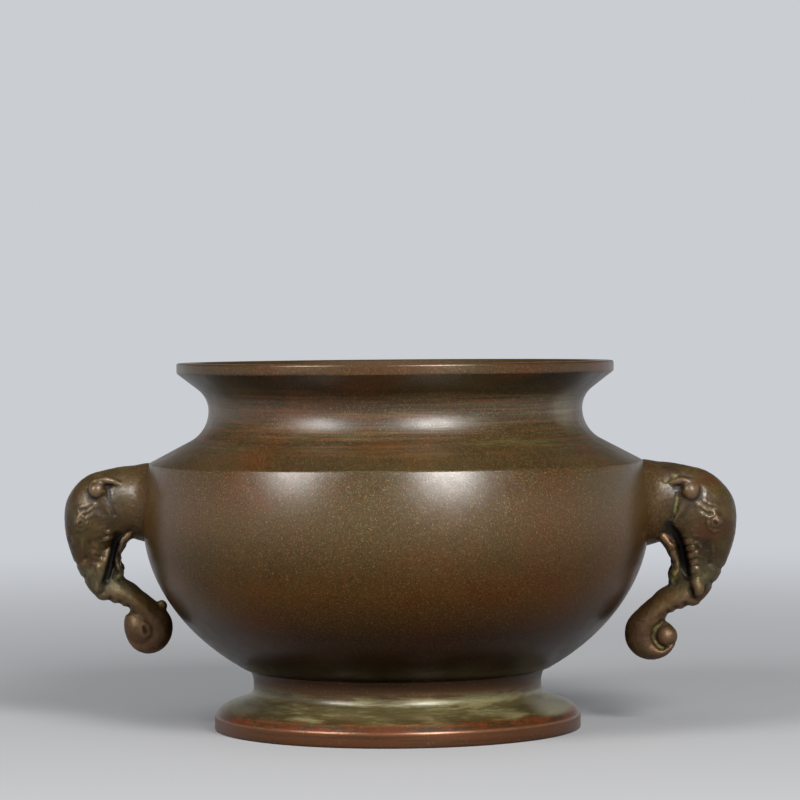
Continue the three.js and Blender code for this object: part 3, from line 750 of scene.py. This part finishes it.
# %% Cast both handles
RIGHT_CAST = {
    "lift": 0.0, "flattening": 0.0, "sway": 0.0, "squeeze": 0.0, "ear": (0.0, 0.0),
    "folds": FOLDS, "tusk": 2.0, "jaw": 1.3, "slot": SLOT, "burrs": [],
    "web": ((2.9, -36.6, 0), 4.4, 0.36), "knob": ((4.5, -36.7, 0), 3.3), "extra": [(CRESCENT, 0.7, -0.4)],
    "green": [(CRESCENT, 0.4), ([(7.0, -18.8), (6.3, -21.0)], 0.3)],
    "ear_green": [
        ([(3.8, 6.5), (5.4, 7.3), (7.0, 7.9)], 0.2), ([(7.1, 2.0), (6.7, -0.8), (6.0, -3.8)], 0.15),
    ],
}
LEFT_CAST = {
    "lift": 2.8, "flattening": 2.3, "sway": 0.9, "squeeze": 0.09, "ear": (1.7, 1.3),
    "folds": CHEEK_FOLDS, "tusk": 0.8, "jaw": 0.95, "slot": LEFT_SLOT, "burrs": [((-4.3, -29.9, 0.0), 1.5)],
    "web": ((2.5, -36.1, 0), 5.4, 0.86), "knob": ((4.4, -36.6, 0), 3.5),
    "extra": [
        ([(1.1, -35.8), (0.9, -36.9)], 0.7, -0.5), ([(22.3, -7.4), (22.3, -8.4)], 0.8, 0.5),
        ([(22.0, -10.0), (21.6, -11.0)], 0.9, -0.3),
    ],
    "green": [([(6.4, -21.4), (8.6, -22.4)], 0.4)], "ear_green": [],
}
right_head = cast_handle("right_elephant_head", "right_elephant_handle", RIGHT_CAST, False)
left_head = cast_handle("left_elephant_head", "left_elephant_handle", LEFT_CAST, True)

# %% [markdown]
# The finish is the patina. Bronze that is waxed and handled for long turns brown and olive, with fine
# golden and reddish grains where the metal shows through, and brushed streaks round the neck. Its colour
# is darker towards the bottom and under the lip, which is painted shade. It is part metal, part wax: the
# wax gives pale, soft highlights over a dark ground. Low on the belly and on the rim there is less wax, so
# they mirror the pale floor only in their own brown.

# %% The ground of every patina
def ramp(tree, source, stops):
    made = add_node(tree, "ShaderNodeValToRGB", {0: source})
    row = made.color_ramp
    while len(row.elements) < len(stops):
        row.elements.new(0.5)
    for element, (place, colour_at) in zip(row.elements, stops):
        element.position = place
        element.color = colour_at
    return made.outputs["Color"]


def plus(tree, a, b):
    return add_node(tree, "ShaderNodeMath", {0: a, 1: b}, operation="ADD").outputs[0]


def level_of(tree, value, low, high):
    """How far a value has come from low to high, 0 to 1."""
    return add_node(tree, "ShaderNodeMapRange", {0: value, 1: low, 2: high}).outputs[0]


def grain(tree, where, scale, detail=3.0, rough=0.55, stretch=(1, 1, 1), turn=(0, 0, 0)):
    """Uneven noise. A high last stretch draws it out into streaks round the axis."""
    mapped = add_node(tree, "ShaderNodeMapping", {"Vector": where, "Scale": stretch, "Rotation": turn})
    inputs = {"Vector": mapped.outputs[0], "Scale": scale, "Detail": detail, "Roughness": rough}
    return add_node(tree, "ShaderNodeTexNoise", inputs).outputs["Fac"]


def spot(tree, where, middle, reach, amount):
    """A soft patch round one place, both in mm."""
    inputs = {0: where, 1: tuple(c * MM for c in middle)}
    away = add_node(tree, "ShaderNodeVectorMath", inputs, operation="DISTANCE").outputs["Value"]
    return between(tree, away, reach * MM, 0.3 * reach * MM, 0, amount)


def across(tree, where):
    """How far a spot is from the middle towards either handle."""
    x = add_node(tree, "ShaderNodeSeparateXYZ", {0: where}).outputs["X"]
    return add_node(tree, "ShaderNodeMath", {0: x}, operation="ABSOLUTE").outputs[0]


def start_patina(name, metal, shine):
    paint = bpy.data.materials.new(name)
    paint.use_nodes = True
    tree = paint.node_tree
    shader = tree.nodes["Principled BSDF"]
    shader.inputs["Metallic"].default_value = metal
    shader.inputs["Specular IOR Level"].default_value = shine
    where = add_node(tree, "ShaderNodeTexCoord").outputs["Object"]
    height = add_node(tree, "ShaderNodeSeparateXYZ", {0: where}).outputs["Z"]
    return paint, tree, where, height


def finish_patina(paint, colour_out, rough, bumps, bare=None):
    """Bumps are (height, strength, depth in metres), laid one on another. Bare is the share of metal."""
    tree = paint.node_tree
    shader = tree.nodes["Principled BSDF"]
    tree.links.new(colour_out, shader.inputs["Base Color"])
    tree.links.new(rough, shader.inputs["Roughness"])
    if bare:
        tree.links.new(bare, shader.inputs["Metallic"])
    normal = None
    for value, strength, depth in bumps:
        inputs = {"Height": value, "Strength": strength, "Distance": depth}
        if normal:
            inputs["Normal"] = normal
        normal = add_node(tree, "ShaderNodeBump", inputs).outputs[0]
    tree.links.new(normal, shader.inputs["Normal"])
    print(paint.name, "has", len(tree.nodes), "nodes")

# %% Speckle, which the bowl and the roots of the heads share
def speckled(tree, where, ground, amount):
    golden = between(tree, grain(tree, where, 2900, 2, 0.5), 0.56, 0.72)
    ground = blend(tree, times(tree, golden, times(tree, amount, 0.7)), ground, tone(128, 112, 62))
    copper_grains = between(tree, grain(tree, where, 2300, 2, 0.5, turn=(1, 0.4, 2)), 0.55, 0.70)
    ground = blend(tree, times(tree, copper_grains, times(tree, amount, 0.32)), ground, tone(128, 58, 24))
    green_grains = between(tree, grain(tree, where, 1900, 2, 0.5, turn=(0.3, 2, 1)), 0.57, 0.70)
    ground = blend(tree, times(tree, green_grains, times(tree, amount, 0.45)), ground, tone(76, 96, 66))
    dark_pits = between(tree, grain(tree, where, 1500, 2, 0.5, turn=(2, 1, 0.4)), 0.40, 0.30)
    return blend(tree, times(tree, dark_pits, 0.5), ground, tone(26, 20, 10))

# %% Patina of the bowl
BOTTOM, TOP = 0.0133, 0.1009
# A height in mm, and the colour there. The dark stops low on the belly and under the lip are painted shade.
BOWL_TONES_AND_SHADE = [
    (17, (40, 22, 8)), (30, (46, 26, 9)), (42, (90, 57, 24)), (56, (75, 49, 16)), (72.6, (62, 40, 13)),
    (73.7, (48, 34, 12)), (84, (57, 39, 14)), (91, (43, 27, 9)), (95.5, (13, 8, 3)), (98, (15, 9, 4)),
    (98.6, (70, 45, 15)), (100.9, (70, 47, 18)),
]


def bowl_colours(tree, where, height, brushed=1.0):
    """The bowl's colours by height, with painted shade low down and under the lip, and its patches, brushed
    streaks and grains.
    """
    stops = [((mm * MM - BOTTOM) / (TOP - BOTTOM), tone(*colour)) for mm, colour in BOWL_TONES_AND_SHADE]
    ground = ramp(tree, level_of(tree, height, BOTTOM, TOP), stops)
    above = between(tree, height, 0.022, 0.045)
    worn_red = between(tree, grain(tree, where, 42, 4, 0.6), 0.47, 0.66, 0, 0.6)
    worn_red = times(tree, worn_red, between(tree, across(tree, where), 0.068, 0.060))
    ground = blend(tree, times(tree, worn_red, above), ground, tone(82, 40, 12))
    olive = between(tree, grain(tree, where, 30, 3, 0.5, turn=(0.6, 1.1, 0.3)), 0.47, 0.66, 0, 0.45)
    ground = blend(tree, times(tree, olive, above), ground, tone(56, 49, 20))
    below_lip = between(tree, height, 0.0965, 0.092)
    on_neck = times(tree, between(tree, height, 0.0742, 0.080, 0, brushed), below_lip)
    streaks = grain(tree, where, 64, 6, 0.72, stretch=(0.45, 0.45, 17))
    brown = times(tree, on_neck, between(tree, streaks, 0.48, 0.60, 0, 0.65))
    ground = blend(tree, brown, ground, tone(90, 56, 28))
    dark_streaks = grain(tree, where, 55, 6, 0.72, stretch=(0.5, 0.5, 17), turn=(0, 0, 2.1))
    dark = times(tree, on_neck, between(tree, dark_streaks, 0.50, 0.62, 0, 0.55))
    ground = blend(tree, dark, ground, tone(32, 22, 12))
    green_streaks = grain(tree, where, 50, 5, 0.7, stretch=(0.5, 0.5, 14), turn=(0, 0, 1.2))
    green = times(tree, on_neck, between(tree, green_streaks, 0.54, 0.66, 0, 0.6))
    ground = blend(tree, green, ground, tone(70, 72, 40))
    broken = between(tree, green_streaks, 0.40, 0.60, 0.35, 1.0)
    smudge = times(tree, spot(tree, where, (45.5, -25, 89.5), 9, 0.75), broken)
    ground = blend(tree, smudge, ground, tone(104, 100, 78))
    fewer_above = between(tree, height, 0.0738, 0.0728, 0.75, 1.0)
    grains = times(tree, between(tree, height, 0.024, 0.050, 0.25, 1.0), fewer_above)
    return speckled(tree, where, ground, grains), on_neck, streaks


bowl_paint, tree, where, height = start_patina("bowl_patina", 0.04, 0.6)
ground, on_neck, streaks = bowl_colours(tree, where, height)
dull = between(tree, grain(tree, where, 260, 3), 0.3, 0.7, 0.28, 0.34)
rough = plus(tree, dull, times(tree, on_neck, times(tree, streaks, 0.10)))
on_lip = between(tree, height, 0.0976, 0.0984, 0, 0.35)
bare = plus(tree, between(tree, height, 0.066, 0.040, 0.04, 0.92), on_lip)
bumps = [
    (grain(tree, where, 1400, 2), 0.10, 0.00010), (times(tree, on_neck, streaks), 0.35, 0.00015),
    (grain(tree, where, 120, 2), 0.12, 0.00025),
]
finish_patina(bowl_paint, ground, rough, bumps, bare)
bowl.data.materials.append(bowl_paint)

# %% [markdown]
# The foot has the thickest patina, grey-green streaks with fine dark cracks on its flare, where a
# cloth reaches least. The lowest strip of the flare is worn to red, and its band and stem are barer.
# The top edge of the band carries a painted highlight, and the right front of the flare a painted sheen.

# %% Patina of the foot
foot_paint, tree, where, height = start_patina("foot_patina", 0.05, 0.55)
# The colours by height. The light stop at the top edge of the band is a painted highlight.
ground = ramp(tree, level_of(tree, height, 0.0, SEAT_Z * MM), [
    (0.0, tone(34, 18, 9)), (0.05, tone(84, 50, 26)), (0.21, tone(94, 57, 30)), (0.235, tone(130, 88, 56)),
    (0.27, tone(52, 30, 13)), (0.36, tone(54, 39, 18)), (0.44, tone(74, 66, 38)), (0.62, tone(76, 68, 42)),
    (0.78, tone(84, 60, 40)), (1.0, tone(60, 42, 28)),
])
on_flare = times(tree, between(tree, height, 0.0050, 0.0066), between(tree, height, 0.0136, 0.0116))
patches = grain(tree, where, 62, 6, 0.7, stretch=(0.62, 0.62, 5))
green = times(tree, on_flare, between(tree, patches, 0.42, 0.58, 0, 0.9))
ground = blend(tree, green, ground, tone(119, 112, 76))
off_band = between(tree, height, 0.0036, 0.0042, 0.25, 1.0)
worn_strip = times(tree, between(tree, height, 0.0072, 0.0054), off_band)
red_grains = grain(tree, where, 260, 7, 0.85, stretch=(0.5, 0.5, 1.2), turn=(0.2, 0, 1))
worn = times(tree, worn_strip, between(tree, red_grains, 0.45, 0.57))
ground = blend(tree, times(tree, worn, 0.75), ground, tone(98, 45, 18))
streaks = grain(tree, where, 50, 6, 0.7, stretch=(0.5, 0.5, 14))
ground = blend(tree, between(tree, streaks, 0.50, 0.64, 0, 0.55), ground, tone(52, 38, 20))
cracks = grain(tree, where, 190, 6, 0.7, stretch=(0.3, 0.3, 4.5), turn=(0.1, 0.15, 0))
crack_lines = times(tree, between(tree, cracks, 0.455, 0.490), between(tree, cracks, 0.530, 0.500))
ground = blend(tree, times(tree, times(tree, on_flare, crack_lines), 0.38), ground, tone(44, 31, 16))
# A pale patch at the right front of the flare is a painted sheen.
painted_sheen_place = times(tree, on_flare, spot(tree, where, (44.5, -21, 7.5), 13, 0.7))
ground = blend(tree, painted_sheen_place, ground, tone(122, 118, 98))
dark_place = times(tree, on_flare, spot(tree, where, (-42, -24, 7.5), 24, 0.6))
ground = blend(tree, dark_place, ground, tone(48, 39, 24))
specks = between(tree, grain(tree, where, 1300, 2, 0.5), 0.62, 0.74, 0, 0.25)
ground = blend(tree, specks, ground, tone(140, 116, 70))
rough = between(tree, patches, 0.3, 0.7, 0.27, 0.38)
bare_stem = between(tree, height, 0.0106, 0.0124, 0, 0.8)
bare = plus(tree, between(tree, height, 0.0046, 0.0036, 0.05, 0.6), bare_stem)
bumps = [(grain(tree, where, 900, 3), 0.15, 0.00012), (streaks, 0.25, 0.00015)]
finish_patina(foot_paint, ground, rough, bumps, bare)
foot.data.materials.append(foot_paint)

# %% [markdown]
# The handles are rougher castings. Their hollows keep verdigris and dark wax, darkened further as
# painted shade, and the mouth slot and the pupils are painted nearly black as shade. What a hand touches
# first is rubbed to a pinkish brown, lightened further on every ridge as a painted highlight. The relief
# that was measured on the skin steers both. Their roots take on the bowl's own colours, so no seam shows
# where they are fitted.

# %% Patina of the heads
head_paint, tree, where, height = start_patina("head_patina", 0.06, 0.6)


def painted(name):
    return add_node(tree, "ShaderNodeAttribute", attribute_name=name).outputs["Fac"]


stands_out, green, shade = painted("relief"), painted("green"), painted("shade")
browns = [(0.34, tone(40, 27, 9)), (0.5, tone(58, 42, 15)), (0.66, tone(80, 63, 28))]
ground = ramp(tree, grain(tree, where, 110, 4, 0.6), browns)
red = between(tree, grain(tree, where, 80, 3, 0.55, turn=(0.5, 1, 0)), 0.50, 0.64, 0, 0.6)
ground = blend(tree, red, ground, tone(76, 42, 20))
olive = between(tree, grain(tree, where, 90, 3, 0.55, turn=(1.5, 0, 1)), 0.50, 0.64, 0, 0.5)
ground = blend(tree, olive, ground, tone(62, 60, 32))
lower = between(tree, height, 0.044, 0.030, 0, 0.35)
ground = blend(tree, lower, ground, tone(92, 60, 38))
veil = times(tree, between(tree, height, 0.035, 0.040), between(tree, height, 0.048, 0.043, 0, 0.45))
ground = blend(tree, veil, ground, tone(88, 86, 62))
root = times(tree, between(tree, across(tree, where), 0.0765, 0.0695), between(tree, height, 0.044, 0.050))
as_on_bowl = bowl_colours(tree, where, height, 0.0)[0]
ground = blend(tree, root, speckled(tree, where, ground, 0.25), as_on_bowl)
# Hollows darken: dark wax, and partly painted shade.
ground = blend(tree, between(tree, stands_out, -0.15, -0.8, 0, 0.7), ground, tone(26, 18, 9))
# Ridges lighten: rubbed wear, and partly a painted highlight.
ground = blend(tree, between(tree, stands_out, 0.25, 0.9, 0, 0.45), ground, tone(116, 92, 64))
ground = blend(tree, times(tree, shade, 0.9), ground, tone(12, 8, 4))
crust = between(tree, grain(tree, where, 420, 3, 0.6, turn=(0, 2, 1)), 0.40, 0.54, 0.15, 1.0)
ground = blend(tree, times(tree, times(tree, green, crust), 0.7), ground, tone(126, 120, 66))
dull = between(tree, grain(tree, where, 400, 3), 0.3, 0.7, 0.34, 0.46)
rough = plus(tree, dull, between(tree, stands_out, 0.0, -0.6, 0, 0.25))
rough = plus(tree, rough, between(tree, height, 0.046, 0.040, 0, 0.10))
rough = plus(tree, rough, times(tree, root, 0.02))
bumps = [
    (grain(tree, where, 260, 3), 0.25, 0.0004), (grain(tree, where, 700, 3), 0.20, 0.00015),
    (grain(tree, where, 1800, 2), 0.10, 0.00008),
]
finish_patina(head_paint, ground, rough, bumps, between(tree, height, 0.064, 0.054, 0.14, 0.62))
for head in (right_head, left_head):
    head.data.materials.append(head_paint)

# %% [markdown]
# The rivets hold the handles. They keep the shape that the CAD model gives them and only get a finish.
# Their hammered heads show inside the bowl, behind each handle.

# %% Rivets
rivet_paint, tree, where, height = start_patina("rivet_bronze", 0.25, 0.5)
browns = [(0.36, tone(70, 48, 30)), (0.6, tone(118, 84, 54))]
ground = ramp(tree, grain(tree, where, 500, 4, 0.6), browns)
rough = between(tree, grain(tree, where, 600, 2), 0.3, 0.7, 0.34, 0.5)
finish_patina(rivet_paint, ground, rough, [(grain(tree, where, 450, 2), 0.5, 0.0003)])
for node_name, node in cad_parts.items():
    if node_name.endswith("_rivet"):
        for slot in node.material_slots:
            slot.material = rivet_paint
        print(node_name, "has", len(node.material_slots), "finish")
